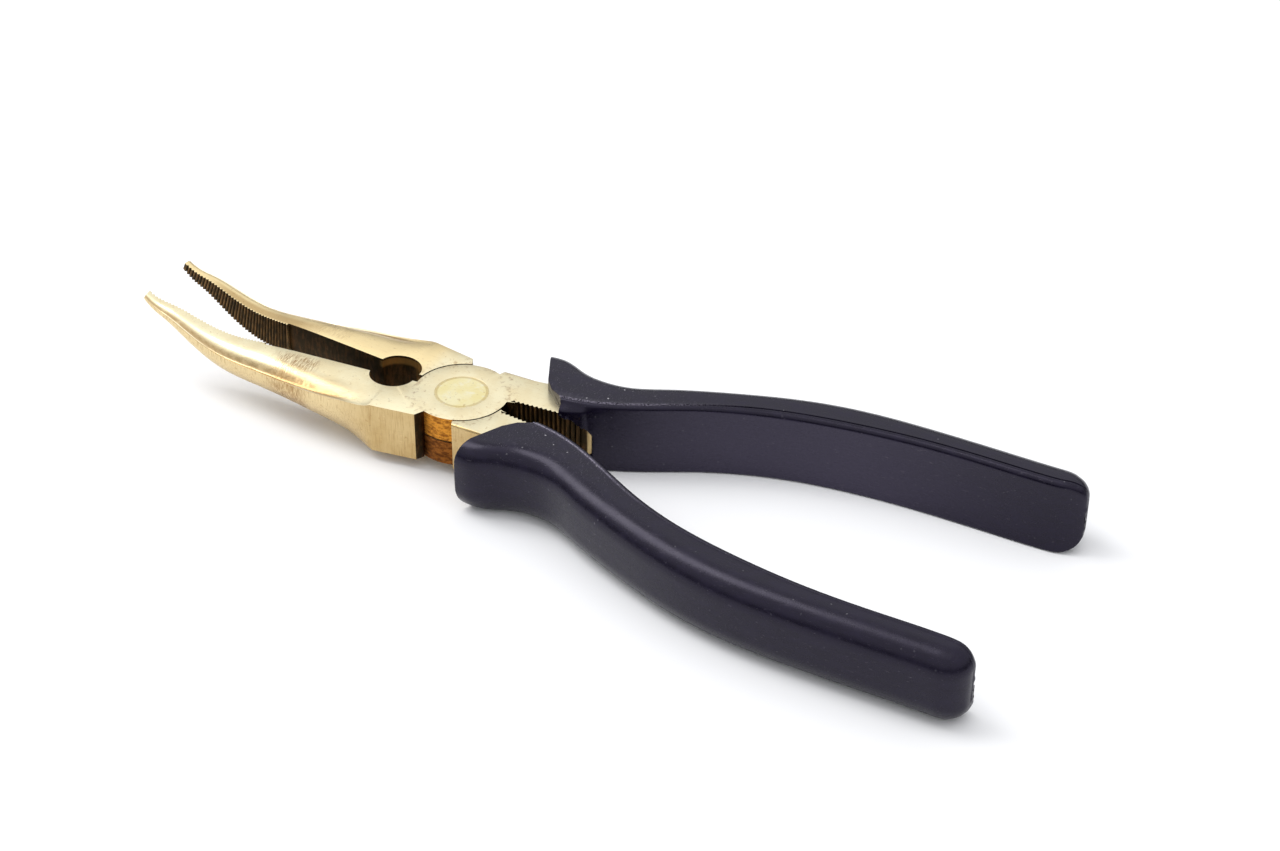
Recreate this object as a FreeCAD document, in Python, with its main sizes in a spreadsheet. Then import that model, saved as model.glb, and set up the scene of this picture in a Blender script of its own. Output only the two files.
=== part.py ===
"""Bent needle nose pliers, 200 mm class, as a parametric FreeCAD document (millimetres).

Two forged levers cross in a lap joint and turn on one flush rivet. Each lever is a jaw with
an upswept nose, half of the joint disc and a tang, and each tang carries a PVC grip.

Each lever is drawn closed, in its own frame: the pivot axis is Z through the frame's origin,
the jaw points along +X and the closed jaws meet on the plane y = 0. Its placement then moves
it to the pivot and opens it by the rest angle. Z = 0 is the surface that the grips lie on.
side = +1 draws the upper lever (jaw on +Y, tang on -Y) and side = -1 the lower one.
"""
import FreeCAD
import Part
import Sketcher
import math
import os
from FreeCAD import Placement, Rotation, Vector

DIMENSIONS = {
    # overall
    "pivot_x": 25.15,           # pivot ahead of the middle of the footprint
    "rest_angle": 4.86,         # each lever's own opening as the pliers lie at rest
    "head_low": 2.5,            # underside of the head above the surface
    "head_thick": 11.0,
    # lap joint and rivet
    "disc_radius": 9.8,
    "seam_gap": 0.32,           # joint disc to the other lever's shoulder arc
    "lap_gap": 0.1,             # between the two half discs
    "rivet_shank_radius": 3.5,
    "rivet_head_radius": 5.5,
    "rivet_head_depth": 1.6,
    "rivet_clearance": 0.05,
    "cut_over": 1.0,            # how far a cutting tool starts outside the metal
    # jaw root
    "jaw_step_x": 3.9,
    "jaw_step_y": 8.95,
    "shoulder_x": 5.1,
    "shoulder_y": 10.9,
    "jaw_root_x": 14.8,         # where the forged nose starts
    "jaw_root_y": 11.6,
    "jaw_overlap": 0.3,         # how far the blocks reach into the joint disc
    "throat_relief": 0.35,      # setback of the land between joint disc and pipe grip
    "pipe_grip_x": 15.65,
    "pipe_grip_half_length": 4.8,
    "pipe_grip_half_width": 4.25,
    "smooth_face_end_x": 45.0,
    "smooth_face_setback": 0.6,
    # jaw and tang teeth
    "jaw_tooth_pitch": 0.77,
    "jaw_tooth_depth": 0.36,
    "tang_tooth_pitch": 1.0,
    "tang_tooth_depth": 0.42,
    # tang
    "tang_step_x": 4.2,
    "tang_step_y": 8.85,
    "tang_shoulder_x": 5.0,
    "tang_shoulder_y": 10.3,
    "tang_back_y": 9.7,
    "tang_lead_x": 2.9,         # length of the short slope from the joint disc to the face
    "tang_lead_y": 0.6,
    "tang_face_y": 1.2,         # serrated inner face of the tang
    "tang_face_end_x": 22.0,    # end of the straight part of the serrated face
    "tang_teeth_end_x": 26.4,
    "tang_edge_round": 0.5,
    "bar_height": 8.6,          # tang bar inside the grip
    # grip
    "grip_outer_round": 3.4,
    "grip_inner_round": 0.9,
}

# Nose sections from root to tip. Each is a plane across the nose: its middle on the inner face
# (x, height over the head's underside), its lean from upright towards the tip (degrees), its
# height, its width at the outer ridge, how far the ridge lies under the top, the width of its
# underside, and the depth of the cove behind the ridge.
NOSE_SECTIONS = (
    (14.8, 5.50, 0.0, 11.00, 11.60, 0.00, 11.60, 0.00),
    (17.4, 5.75, 0.0, 10.50, 11.75, 0.55, 10.60, 0.05),
    (21.0, 6.00, 0.0, 10.00, 11.15, 1.05, 9.20, 0.09),
    (28.0, 6.50, 0.0, 9.00, 10.40, 1.70, 8.10, 0.13),
    (36.0, 6.95, 0.5, 8.10, 8.90, 2.20, 6.90, 0.15),
    (45.0, 7.05, 3.0, 7.40, 6.95, 2.30, 5.30, 0.14),
    (53.5, 7.45, 9.0, 6.45, 5.50, 1.95, 4.00, 0.11),
    (60.7, 9.95, 17.0, 4.85, 4.35, 1.45, 3.00, 0.08),
    (66.7, 12.80, 22.0, 3.20, 3.15, 1.00, 2.10, 0.05),
    (72.5, 15.60, 24.0, 1.75, 1.90, 0.55, 1.15, 0.02),
)

# Grip sections from front to back, in the frame of the upper lever: the inner edge (x, y), the
# outer edge (x, y) and the lowest and highest z. They reach a little below the surface that the
# grips lie on, where the underside is then cut flat.
GRIP_SECTIONS = (
    (-17.7, -2.4, -11.3, -18.4, -0.1, 16.0),
    (-19.6, -2.4, -14.6, -18.4, -0.1, 16.0),
    (-23.2, -2.6, -20.0, -16.0, -0.1, 16.0),
    (-28.0, -3.4, -25.6, -14.6, -0.1, 16.0),
    (-34.0, -5.3, -31.2, -14.9, -0.1, 16.0),
    (-40.5, -8.0, -37.6, -17.2, -0.1, 16.0),
    (-47.0, -10.8, -44.4, -19.6, -0.1, 16.0),
    (-55.0, -13.5, -52.8, -22.1, -0.1, 16.0),
    (-64.0, -15.5, -62.5, -24.5, -0.1, 16.0),
    (-76.0, -16.9, -75.4, -26.1, -0.1, 16.0),
    (-90.0, -17.4, -90.0, -25.8, -0.1, 16.0),
    (-105.0, -16.6, -105.6, -24.5, -0.1, 16.0),
    (-117.0, -15.65, -117.8, -23.4, -0.1, 16.0),
)
# The same for the rounded end of a grip.
GRIP_END_SECTIONS = (
    (-117.0, -15.65, -117.8, -23.4, -0.1, 16.0),
    (-119.2, -15.65, -119.8, -23.2, -0.1, 16.0),
    (-121.2, -15.8, -121.5, -22.6, 0.1, 16.0),
    (-122.7, -16.1, -122.8, -21.8, 0.75, 15.6),
    (-123.7, -16.4, -123.7, -20.95, 1.55, 14.95),
    (-124.4, -16.85, -124.4, -19.9, 2.55, 14.1),
    (-124.8, -17.2, -124.8, -18.8, 3.7, 13.0),
)

# Where the serrated face of the tang curves away behind its straight part, down to the bar.
TANG_FACE_RUNOUT = ((-25.5, -2.2), (-28.5, -4.2), (-31.0, -7.2))

# The back of the tang under the grip, from the bar forward: x, and how far outside tang_back_y.
TANG_BACK_RUN = ((-31.0, 1.8), (-22.0, 0.5), (-14.5, 0.0))

# Tang bar inside the grip, inner side then outer side, from front to back.
BAR_INNER_SIDE = (
    (-29.4, -6.3),
    (-40.0, -11.1),
    (-47.0, -13.9),
    (-64.0, -18.4),
    (-83.0, -20.1),
    (-104.0, -19.8),
)
BAR_OUTER_SIDE = (
    (-29.4, -11.3),
    (-40.0, -15.1),
    (-55.0, -20.0),
    (-72.0, -23.5),
    (-83.0, -24.0),
    (-104.0, -22.6),
)
BAR_END_BULGE = 1.6

doc = FreeCAD.newDocument("needle_nose_pliers")


def make_sheet():
    sheet = doc.addObject("Spreadsheet::Sheet", "dims")
    for row, (alias, value) in enumerate(DIMENSIONS.items(), start=1):
        sheet.set(f"A{row}", alias)
        sheet.set(f"B{row}", str(value))
        sheet.setAlias(f"B{row}", alias)
    doc.recompute()
    return sheet


sheet = make_sheet()


def dim(alias):
    """A driving dimension as a number."""
    return float(sheet.get(alias))


def total(*terms, sign=1):
    """The sum of aliases, "-" before one that is taken away, and of plain numbers: the number
    that it comes to, and the expression that drives it."""
    number = 0.0
    words = []
    for term in terms:
        if not isinstance(term, str):
            number += term
            words.append(f"({term})")
        elif term.startswith("-"):
            number -= dim(term[1:])
            words.append(f"(-dims.{term[1:]})")
        else:
            number += dim(term)
            words.append(f"dims.{term}")
    return sign * number, f"{sign} * ({' + '.join(words)})"


def new_sketch(body, name, role, offset=Placement(), height=None):
    """A sketch on one of the body's own origin planes, raised by an expression if one is given."""
    plane = next(feature for feature in body.Origin.OriginFeatures if feature.Role == role)
    sketch = body.newObject("Sketcher::SketchObject", name)
    sketch.AttachmentSupport = [(plane, "")]
    sketch.MapMode = "FlatFace"
    sketch.AttachmentOffset = offset
    if height:
        sketch.setExpression("AttachmentOffset.Base.z", height)
    return sketch


def constrain(sketch, kind, *target, bound):
    """A dimension of the sketch that is bound to the sheet."""
    number, expression = bound
    index = sketch.addConstraint(Sketcher.Constraint(kind, *target, number))
    sketch.setExpression(f"Constraints[{index}]", expression)


def polygon(sketch, corners):
    """A closed outline of straight edges; each corner's x and y come from total()."""
    points = [Vector(x[0], y[0], 0) for x, y in corners]
    count = len(points)
    for index, point in enumerate(points):
        sketch.addGeometry(Part.LineSegment(point, points[(index + 1) % count]), False)
    for index, (x, y) in enumerate(corners):
        previous = (index - 1) % count
        sketch.addConstraint(Sketcher.Constraint("Coincident", previous, 2, index, 1))
        constrain(sketch, "DistanceX", index, 1, bound=x)
        constrain(sketch, "DistanceY", index, 1, bound=y)


def circle(sketch, radius):
    """A circle about the origin; its radius comes from total()."""
    sketch.addGeometry(Part.Circle(Vector(), Vector(0, 0, 1), radius[0]), False)
    sketch.addConstraint(Sketcher.Constraint("Coincident", 0, 3, -1, 1))
    constrain(sketch, "Radius", 0, bound=radius)


def pad(body, sketch, name, length):
    feature = body.newObject("PartDesign::Pad", name)
    feature.Profile = sketch
    feature.setExpression("Length", length)
    doc.recompute()
    return feature


def pocket(body, sketch, name, length):
    """A pocket that cuts down from its sketch; it has to take something away."""
    before = body.Shape.Volume
    feature = body.newObject("PartDesign::Pocket", name)
    feature.Profile = sketch
    feature.setExpression("Length", length)
    doc.recompute()
    if body.Shape.Volume >= before:
        raise RuntimeError(f"{name} cuts nothing")
    return feature


def smooth_curve(points):
    """A curve through plan points."""
    spline = Part.BSplineCurve()
    spline.interpolate([Vector(*point) for point in points])
    return spline


def mirrored(points, side):
    return [(x, side * y, 0) for x, y in points]


# ---------------------------------------------------------------------------------- levers

TOP = "dims.head_low + dims.head_thick"
LAP = "dims.head_low + dims.head_thick / 2"
ABOVE = f"{TOP} + dims.cut_over"
THROUGH = "dims.head_thick + 2 * dims.cut_over"


def add_joint_disc(body, side):
    """The half disc of the lap joint: the top half on the upper lever, the bottom half on the lower."""
    base = f"{LAP} + dims.lap_gap / 2" if side > 0 else "dims.head_low"
    sketch = new_sketch(body, "disc_outline", "XY_Plane", height=base)
    circle(sketch, total("disc_radius"))
    pad(body, sketch, "joint_disc", "(dims.head_thick - dims.lap_gap) / 2")


def add_jaw_root(body, side):
    """The full-thickness block between the joint and the nose, with the square shoulder."""
    sketch = new_sketch(body, "jaw_root_outline", "XY_Plane", height="dims.head_low")
    throat = total("throat_relief", sign=side)
    polygon(sketch, (
        (total(0), total(0)),
        (total("jaw_step_x"), total("jaw_step_y", sign=side)),
        (total("shoulder_x"), total("shoulder_y", sign=side)),
        (total("jaw_root_x"), total("jaw_root_y", sign=side)),
        (total("jaw_root_x"), throat),
        (total("disc_radius", "-jaw_overlap"), throat),
    ))
    pad(body, sketch, "jaw_root", "dims.head_thick")


def add_tang_root(body, side):
    """The full-thickness block behind the joint, with the flat that takes the rear teeth."""
    sketch = new_sketch(body, "tang_root_outline", "XY_Plane", height="dims.head_low")
    face = total("tang_face_y", sign=-side)
    runout = [(total(x), total(y, sign=side)) for x, y in TANG_FACE_RUNOUT]
    back = [(total(x), total("tang_back_y", outward, sign=-side)) for x, outward in TANG_BACK_RUN]
    polygon(sketch, (
        (total(0), total(0)),
        (total("disc_radius", sign=-1), total("tang_face_y", "-tang_lead_y", sign=-side)),
        (total("disc_radius", "tang_lead_x", sign=-1), face),
        (total("tang_face_end_x", sign=-1), face),
        *runout,
        *back,
        (total("tang_shoulder_x", sign=-1), total("tang_shoulder_y", sign=-side)),
        (total("tang_step_x", sign=-1), total("tang_step_y", sign=-side)),
    ))
    pad(body, sketch, "tang_root", "dims.head_thick")


def add_tang_bar(body, side):
    """The slimmer bar that runs on inside the grip."""
    sketch = new_sketch(body, "tang_bar_outline", "XY_Plane",
                        height="dims.head_low + (dims.head_thick - dims.bar_height) / 2")
    inner = mirrored(BAR_INNER_SIDE, side)
    outer = mirrored(BAR_OUTER_SIDE, side)
    end_middle = Vector(inner[-1][0] - BAR_END_BULGE, (inner[-1][1] + outer[-1][1]) / 2, 0)
    sketch.addGeometry(smooth_curve(inner), False)
    sketch.addGeometry(Part.Arc(Vector(*inner[-1]), end_middle, Vector(*outer[-1])), False)
    sketch.addGeometry(smooth_curve(outer), False)
    sketch.addGeometry(Part.LineSegment(Vector(*outer[0]), Vector(*inner[0])), False)
    pad(body, sketch, "tang_bar", "dims.bar_height")


def nose_section(sketch, side, height, width, ridge_drop, heel, cove):
    """One D-shaped section: flat inner face, crowned top that falls into a cove and rises to
    the outer ridge, a full flank and a nearly flat underside. y of the sketch is upward."""
    top = height / 2
    bottom = -height / 2
    ridge = top - ridge_drop

    def across(y, z):
        return Vector(side * y, z, 0)

    crown = (
        across(0, top),
        across(0.3 * width, top),
        across(0.58 * width, top - 0.1 * ridge_drop),
        across(0.82 * width, top - 0.62 * ridge_drop - 0.35 * cove),
        across(0.95 * width, ridge - cove),
        across(width, ridge),
    )
    inset = width - heel
    flank_middle = across(width - 0.24 * inset + 0.02, 0.5 * (ridge + bottom) - 0.1 * inset)
    edges = (
        Part.LineSegment(across(0, bottom), crown[0]),
        smooth_curve(crown),
        Part.Arc(crown[-1], flank_middle, across(heel, bottom + 0.15 * inset)),
        Part.LineSegment(across(heel, bottom + 0.15 * inset), across(0, bottom)),
    )
    for edge in edges:
        sketch.addGeometry(edge, False)


def add_nose(body, side):
    """The forged nose: one loft through the sections, sweeping up towards the tip."""
    sketches = []
    for index, (x, middle, lean, *shape) in enumerate(NOSE_SECTIONS):
        upright = Placement(Vector(0, dim("head_low") + middle, x), Rotation(Vector(1, 0, 0), -lean))
        sketch = new_sketch(body, f"nose_section_{index}", "YZ_Plane", offset=upright)
        nose_section(sketch, side, *shape)
        sketches.append(sketch)
    loft = body.newObject("PartDesign::AdditiveLoft", "nose")
    loft.Profile = sketches[0]
    loft.Sections = sketches[1:]
    loft.Ruled = False
    doc.recompute()


def cut_lap(body, side):
    """Room for the other lever's half disc."""
    half = "dims.head_thick / 2 + dims.lap_gap / 2 + dims.cut_over"
    top = f"{LAP} + dims.lap_gap / 2" if side > 0 else ABOVE
    sketch = new_sketch(body, "lap_outline", "XY_Plane", height=top)
    circle(sketch, total("disc_radius", "seam_gap"))
    pocket(body, sketch, "lap_recess", half)


def cut_pipe_grip(body):
    """Half of the oval pipe grip, which the two jaws share."""
    sketch = new_sketch(body, "pipe_grip_outline", "XY_Plane", height=ABOVE)
    centre = Vector(dim("pipe_grip_x"), 0, 0)
    long_end = centre + Vector(dim("pipe_grip_half_length"), 0, 0)
    short_end = centre + Vector(0, dim("pipe_grip_half_width"), 0)
    sketch.addGeometry(Part.Ellipse(long_end, short_end, centre), False)
    pocket(body, sketch, "pipe_grip", THROUGH)


def cut_smooth_face(body, side):
    """The plain inner face behind the jaw teeth, set back from the closing plane."""
    sketch = new_sketch(body, "smooth_face_outline", "XY_Plane", height=ABOVE)
    polygon(sketch, (
        (total("pipe_grip_x"), total("cut_over", sign=-side)),
        (total("smooth_face_end_x"), total("cut_over", sign=-side)),
        (total("smooth_face_end_x"), total("smooth_face_setback", sign=side)),
        (total("pipe_grip_x"), total("smooth_face_setback", sign=side)),
    ))
    pocket(body, sketch, "smooth_face", THROUGH)


def rivet_profile(sketch, clearance, over, countersink_low, countersink_high):
    """Half section of the rivet, or of its hole with a clearance added and run out by over."""
    shank = total("rivet_shank_radius", *clearance)
    head = total("rivet_head_radius", *clearance)
    low = total("head_low", *[f"-{alias}" for alias in over])
    high = total("head_low", "head_thick", *over)
    corners = [(total(0), low)]
    if countersink_low:
        corners += [(head, low), (head, total("head_low")), (shank, total("head_low", "rivet_head_depth"))]
    else:
        corners += [(shank, low)]
    if countersink_high:
        corners += [(shank, total("head_low", "head_thick", "-rivet_head_depth"))]
        corners += [(head, total("head_low", "head_thick")), (head, high)]
    else:
        corners += [(shank, high)]
    corners += [(total(0), high)]

    def place_of(corner):
        return corner[0][0], corner[1][0]

    polygon(sketch, [corner for index, corner in enumerate(corners)
                     if place_of(corner) != place_of(corners[index - 1])])


def cut_rivet_hole(body, side):
    """The upper lever grips the rivet; the lower one turns on it with a running clearance."""
    sketch = new_sketch(body, "rivet_hole_section", "XZ_Plane")
    clearance = () if side > 0 else ("rivet_clearance",)
    rivet_profile(sketch, clearance, ("cut_over",), side < 0, side > 0)
    before = body.Shape.Volume
    groove = body.newObject("PartDesign::Groove", "rivet_hole")
    groove.Profile = sketch
    groove.ReferenceAxis = (sketch, ["V_Axis"])
    groove.Angle = 360
    doc.recompute()
    if body.Shape.Volume >= before:
        raise RuntimeError("rivet hole cuts nothing")


def lean_at(x):
    """Lean of the nose at a distance from the pivot, in degrees."""
    for (x0, _, lean0, *_), (x1, _, lean1, *_) in zip(NOSE_SECTIONS, NOSE_SECTIONS[1:]):
        if x <= x1:
            return lean0 + (lean1 - lean0) * max(0.0, x - x0) / (x1 - x0)
    return NOSE_SECTIONS[-1][2]


def middle_at(x):
    """Height of the middle of the nose's inner face over the head's underside."""
    for (x0, z0, *_), (x1, z1, *_) in zip(NOSE_SECTIONS, NOSE_SECTIONS[1:]):
        if x <= x1:
            return z0 + (z1 - z0) * (x - x0) / (x1 - x0)
    return NOSE_SECTIONS[-1][1]


def tang_face_at(x):
    """y of the tang's serrated face on the upper lever."""
    corners = ((0.0, -dim("tang_face_y")), (-dim("tang_face_end_x"), -dim("tang_face_y"))) + TANG_FACE_RUNOUT
    for (x0, y0), (x1, y1) in zip(corners, corners[1:]):
        if x >= x1:
            return y0 + (y1 - y0) * (x - x0) / (x1 - x0)
    return corners[-1][1]


def vee(middle, up, into, width, depth, reach):
    """A V-shaped cutter: its ridge runs along up, and it cuts in the direction into."""
    along = up.cross(into).normalize()
    lip = into * -0.2
    half = width / 2 * (1 + 0.2 / depth)
    corners = [middle + lip - along * half, middle + lip + along * half, middle + into * depth]
    start = up * -reach
    face = Part.Face(Part.makePolygon([corner + start for corner in corners + corners[:1]]))
    return face.extrude(up * (2 * reach))


def tooth_cutters(name, side):
    """Every groove between the teeth of one lever: fanned on the jaw, upright on the tang."""
    cutters = []
    pitch = dim("jaw_tooth_pitch")
    x = dim("smooth_face_end_x") + pitch
    tip_x = NOSE_SECTIONS[-1][0] - 0.3
    while x < tip_x:
        lean = math.radians(lean_at(x))
        up = Vector(-math.sin(lean), 0, math.cos(lean))
        middle = Vector(x, 0, dim("head_low") + middle_at(x))
        cutters.append(vee(middle, up, Vector(0, side, 0), 0.82 * pitch, dim("jaw_tooth_depth"), 6))
        x += pitch * math.cos(lean)
    pitch = dim("tang_tooth_pitch")
    count = int((dim("tang_teeth_end_x") - dim("disc_radius") - 1.2) / pitch)
    for index in range(count):
        x = -dim("disc_radius") - 1.2 - index * pitch
        middle = Vector(x, side * tang_face_at(x), dim("head_low") + dim("head_thick") / 2)
        cutters.append(vee(middle, Vector(0, 0, 1), Vector(0, -side, 0), 0.86 * pitch,
                           dim("tang_tooth_depth"), dim("head_thick")))
    feature = doc.addObject("Part::Feature", name)
    feature.Shape = Part.makeCompound(cutters)
    return feature


def round_tang_edges(body):
    """Round the long upper and lower edges on the outside of the tang's bare part."""
    front = -dim("tang_shoulder_x")
    chosen = []
    for index, edge in enumerate(body.Shape.Edges, start=1):
        box = edge.BoundBox
        if abs(box.XMax - front) < 0.01 and box.XLength > dim("tang_shoulder_x"):
            chosen.append(f"Edge{index}")
    if len(chosen) != 2:
        raise RuntimeError(f"{len(chosen)} long tang edges found")
    base = body.Tip
    fillet = body.newObject("PartDesign::Fillet", "tang_edge_round")
    fillet.Base = (base, chosen)
    fillet.setExpression("Radius", "dims.tang_edge_round")
    doc.recompute()


def place(feature, side):
    """Move a piece from its own closed frame to the pivot, opened by the rest angle."""
    feature.setExpression("Placement.Base.x", "dims.pivot_x")
    if side:
        feature.setExpression("Placement.Rotation.Angle", "dims.rest_angle")
        feature.Placement = Placement(Vector(dim("pivot_x"), 0, 0),
                                      Rotation(Vector(0, 0, side), dim("rest_angle")))
    doc.recompute()


def cut_piece(label, base, tool, side):
    piece = doc.addObject("Part::Cut", label)
    piece.Label = label
    piece.Base = base
    piece.Tool = tool
    doc.recompute()
    place(piece, side)
    return piece


def make_forging(name, side):
    """One lever without its teeth."""
    body = doc.addObject("PartDesign::Body", name)
    add_joint_disc(body, side)
    add_jaw_root(body, side)
    add_tang_root(body, side)
    add_tang_bar(body, side)
    add_nose(body, side)
    cut_lap(body, side)
    cut_pipe_grip(body)
    cut_smooth_face(body, side)
    cut_rivet_hole(body, side)
    round_tang_edges(body)
    return body


# ----------------------------------------------------------------------------------- rivet

def make_rivet():
    body = doc.addObject("PartDesign::Body", "pivot_rivet")
    body.Label = "pivot_rivet"
    sketch = new_sketch(body, "rivet_section", "XZ_Plane")
    rivet_profile(sketch, (), (), True, True)
    revolution = body.newObject("PartDesign::Revolution", "rivet_turned")
    revolution.Profile = sketch
    revolution.ReferenceAxis = (sketch, ["V_Axis"])
    revolution.Angle = 360
    doc.recompute()
    place(body, 0)
    return body


# ----------------------------------------------------------------------------------- grips

def grip_section(sketch, width, height):
    """An upright section from its inner edge at x = 0: small rounds inside, large ones outside."""
    half = height / 2
    inner = min(dim("grip_inner_round"), 0.2 * width)
    outer = min(dim("grip_outer_round"), 0.6 * width)
    corners = (
        (inner, half - inner, inner, 90),
        (inner, inner - half, inner, 180),
        (width - outer, outer - half, outer, 270),
        (width - outer, half - outer, outer, 0),
    )
    quarters = []
    for x, y, radius, start in corners:
        angles = [math.radians(start + turn) for turn in (0, 45, 90)]
        quarters.append([Vector(x + radius * math.cos(a), y + radius * math.sin(a), 0) for a in angles])
    for quarter, following in zip(quarters, quarters[1:] + quarters[:1]):
        sketch.addGeometry(Part.Arc(*quarter), False)
        sketch.addGeometry(Part.LineSegment(quarter[-1], following[0]), False)


def add_grip_loft(body, name, sections, side, ruled):
    sketches = []
    for index, (inner_x, inner_y, outer_x, outer_y, low, high) in enumerate(sections):
        start = Vector(inner_x, side * inner_y, (low + high) / 2)
        across = Vector(outer_x - inner_x, side * (outer_y - inner_y), 0)
        upward = Vector(0, 0, 1)
        turn = Rotation(across, upward, across.cross(upward), "ZXY")
        sketch = new_sketch(body, f"{name}_section_{index}", "XY_Plane", offset=Placement(start, turn))
        grip_section(sketch, across.Length, high - low)
        sketches.append(sketch)
    loft = body.newObject("PartDesign::AdditiveLoft", name)
    loft.Profile = sketches[0]
    loft.Sections = sketches[1:]
    loft.Ruled = ruled
    doc.recompute()


def make_sleeve(name, side):
    """The outer form of a grip: a bent handle with a finger guard, lofted along its length."""
    body = doc.addObject("PartDesign::Body", name)
    add_grip_loft(body, "sleeve", GRIP_SECTIONS, side, ruled=False)
    add_grip_loft(body, "sleeve_end", GRIP_END_SECTIONS, side, ruled=True)
    sketch = new_sketch(body, "underside_outline", "XY_Plane")
    reach = 200
    polygon(sketch, [(total(x), total(y)) for x, y in (
        (-reach, -reach), (reach, -reach), (reach, reach), (-reach, reach))])
    pocket(body, sketch, "underside", "dims.cut_over")
    return body


def make_grip(label, forging, side):
    sleeve = make_sleeve(label + "_sleeve", side)
    return cut_piece(label, sleeve, forging, side)


# ----------------------------------------------------------------------------------- build

def make_pieces():
    pieces = []
    for name, side in (("upper", 1), ("lower", -1)):
        forging = make_forging(f"{name}_forging", side)
        teeth = tooth_cutters(f"{name}_tooth_cutters", side)
        pieces.append(cut_piece(f"{name}_lever", forging, teeth, side))
        pieces.append(make_grip(f"{name}_lever_grip", forging, side))
    pieces.append(make_rivet())
    return pieces


def check_document(pieces):
    doc.recompute()
    failed = [item.Name for item in doc.Objects if {"Invalid", "Error"} & set(item.State)]
    failed += [piece.Label for piece in pieces if piece.Shape.isNull() or not piece.Shape.isValid()]
    failed += [piece.Label for piece in pieces if len(piece.Shape.Solids) != 1]
    if failed:
        raise RuntimeError(f"not sound: {failed}")


pieces = make_pieces()
check_document(pieces)
os.makedirs("parts", exist_ok=True)
for piece in pieces:
    piece.Shape.exportStep(f"parts/{piece.Label}.step")
    box = piece.Shape.BoundBox
    print(piece.Label, "volume", round(piece.Shape.Volume), "x", round(box.XMin, 2), round(box.XMax, 2),
          "y", round(box.YMin, 2), round(box.YMax, 2), "z", round(box.ZMin, 2), round(box.ZMax, 2))
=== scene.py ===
"""Bent needle nose pliers: the looks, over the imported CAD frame. Lengths in metres."""
import math

import bmesh
import bpy
import numpy as np
from mathutils import Matrix, Vector


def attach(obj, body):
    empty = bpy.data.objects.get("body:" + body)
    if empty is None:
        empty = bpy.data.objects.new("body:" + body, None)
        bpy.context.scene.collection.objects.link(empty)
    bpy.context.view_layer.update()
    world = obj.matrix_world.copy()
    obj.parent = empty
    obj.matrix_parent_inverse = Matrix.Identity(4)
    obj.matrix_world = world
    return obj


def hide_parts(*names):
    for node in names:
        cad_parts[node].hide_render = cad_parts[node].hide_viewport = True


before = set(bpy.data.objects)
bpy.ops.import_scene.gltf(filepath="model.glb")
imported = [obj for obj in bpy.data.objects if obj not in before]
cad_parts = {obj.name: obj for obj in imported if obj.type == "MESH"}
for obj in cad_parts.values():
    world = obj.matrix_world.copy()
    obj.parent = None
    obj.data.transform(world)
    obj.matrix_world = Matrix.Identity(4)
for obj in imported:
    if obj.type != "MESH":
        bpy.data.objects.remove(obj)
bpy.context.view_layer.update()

MM = 0.001
# Where the levers lie in the CAD frame, in millimetres.
PIVOT_X = 25.15                     # the pivot, ahead of the middle of the footprint
REST_ANGLE = math.radians(4.86)     # each lever's own opening at rest
HEAD_LOW = 2.5                      # underside of the head above the floor


# ------------------------------------------------------------------------------------ nodes

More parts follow.
